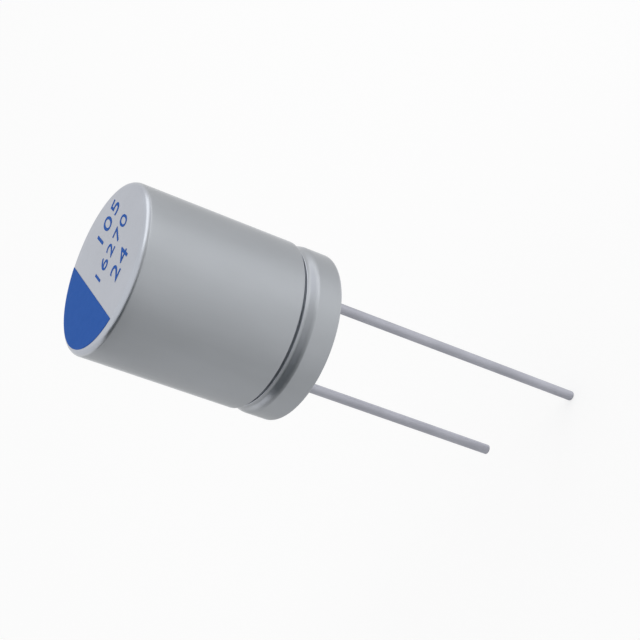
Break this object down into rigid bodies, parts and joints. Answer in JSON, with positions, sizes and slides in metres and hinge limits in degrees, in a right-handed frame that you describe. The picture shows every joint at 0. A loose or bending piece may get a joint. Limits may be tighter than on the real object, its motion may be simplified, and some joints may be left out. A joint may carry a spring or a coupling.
{
  "type": "aluminium polymer capacitor",
  "caption": "Radial aluminium polymer capacitor: a round can with a rolled bead and a folded rim, a blue polarity mark on its flat top and straight wire leads for a circuit board.",
  "frame": {"origin": "centre of the can on the seat plane, where the seal meets the board, midway between the wires", "axes": "+Z from the seat plane to the closed top, +X from the axis towards the anode wire"},
  "size_m": [0.01, 0.01, 0.0313],
  "materials": {
    "can_aluminium": "satin, drawn",
    "blue_ink": "matte printed ink",
    "seal_rubber": "matte",
    "tinned_wire": "satin tin plate",
    "tab_aluminium": "plain",
    "wound_foil": "matte foil and paper soaked with polymer",
    "amber_tape": "gloss film"
  },
  "bodies": {
    "root": {"can": "can_aluminium", "polarity_mark": "blue_ink", "rubber_seal": "seal_rubber", "anode_wire": "tinned_wire", "cathode_wire": "tinned_wire", "anode_tab": "tab_aluminium", "cathode_tab": "tab_aluminium", "wound_element": "wound_foil", "winding_tape": "amber_tape"}
  },
  "joints": []
}
